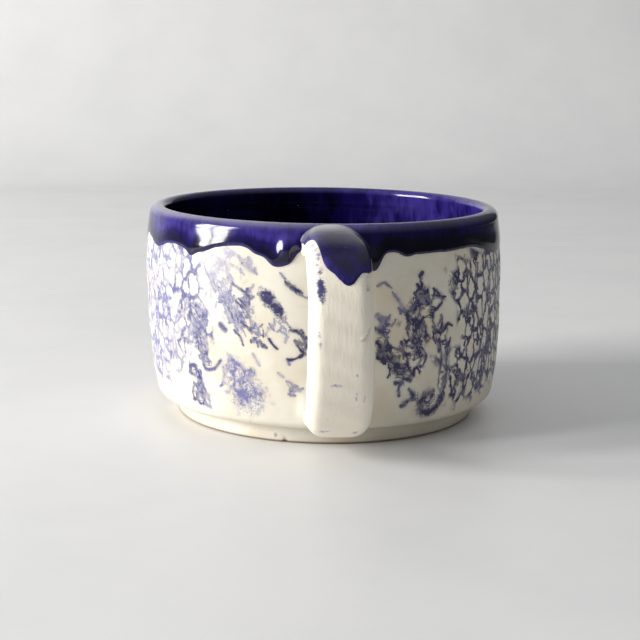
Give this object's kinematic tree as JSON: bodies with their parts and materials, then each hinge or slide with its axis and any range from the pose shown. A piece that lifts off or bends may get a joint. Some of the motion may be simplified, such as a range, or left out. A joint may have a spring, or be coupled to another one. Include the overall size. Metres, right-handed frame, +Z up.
{
  "type": "shaving mug",
  "caption": "Low, wide hand-built ceramic shaving mug with a strap handle, a foot ring and a dripping cobalt glaze over its lip.",
  "frame": {"origin": "on the table, under the middle of the whole mug's box; the cup's own axis is the vertical line at x 0, y 0.013", "axes": "+Z up out of the cup, -Y towards the handle, +X to the right for someone who faces the handle"},
  "size_m": [0.112, 0.1381, 0.0655],
  "materials": {
    "cream_clay": "satin cream clear glaze with blue stamped texture marks",
    "cream_clay_foot": "satin cream, worn bare where it stands",
    "cream_clay_handle": "satin cream clear glaze",
    "cobalt_glaze": "thick glossy cobalt blue"
  },
  "bodies": {
    "root": {"wall_band": "cream_clay", "floor_disc": "cream_clay", "foot_ring": "cream_clay_foot", "handle_strap": "cream_clay_handle", "upper_handle_fillet": "cream_clay_handle", "lower_handle_fillet": "cream_clay_handle", "liner_glaze": "cobalt_glaze", "rim_glaze": "cobalt_glaze", "handle_glaze": "cobalt_glaze"}
  },
  "joints": []
}
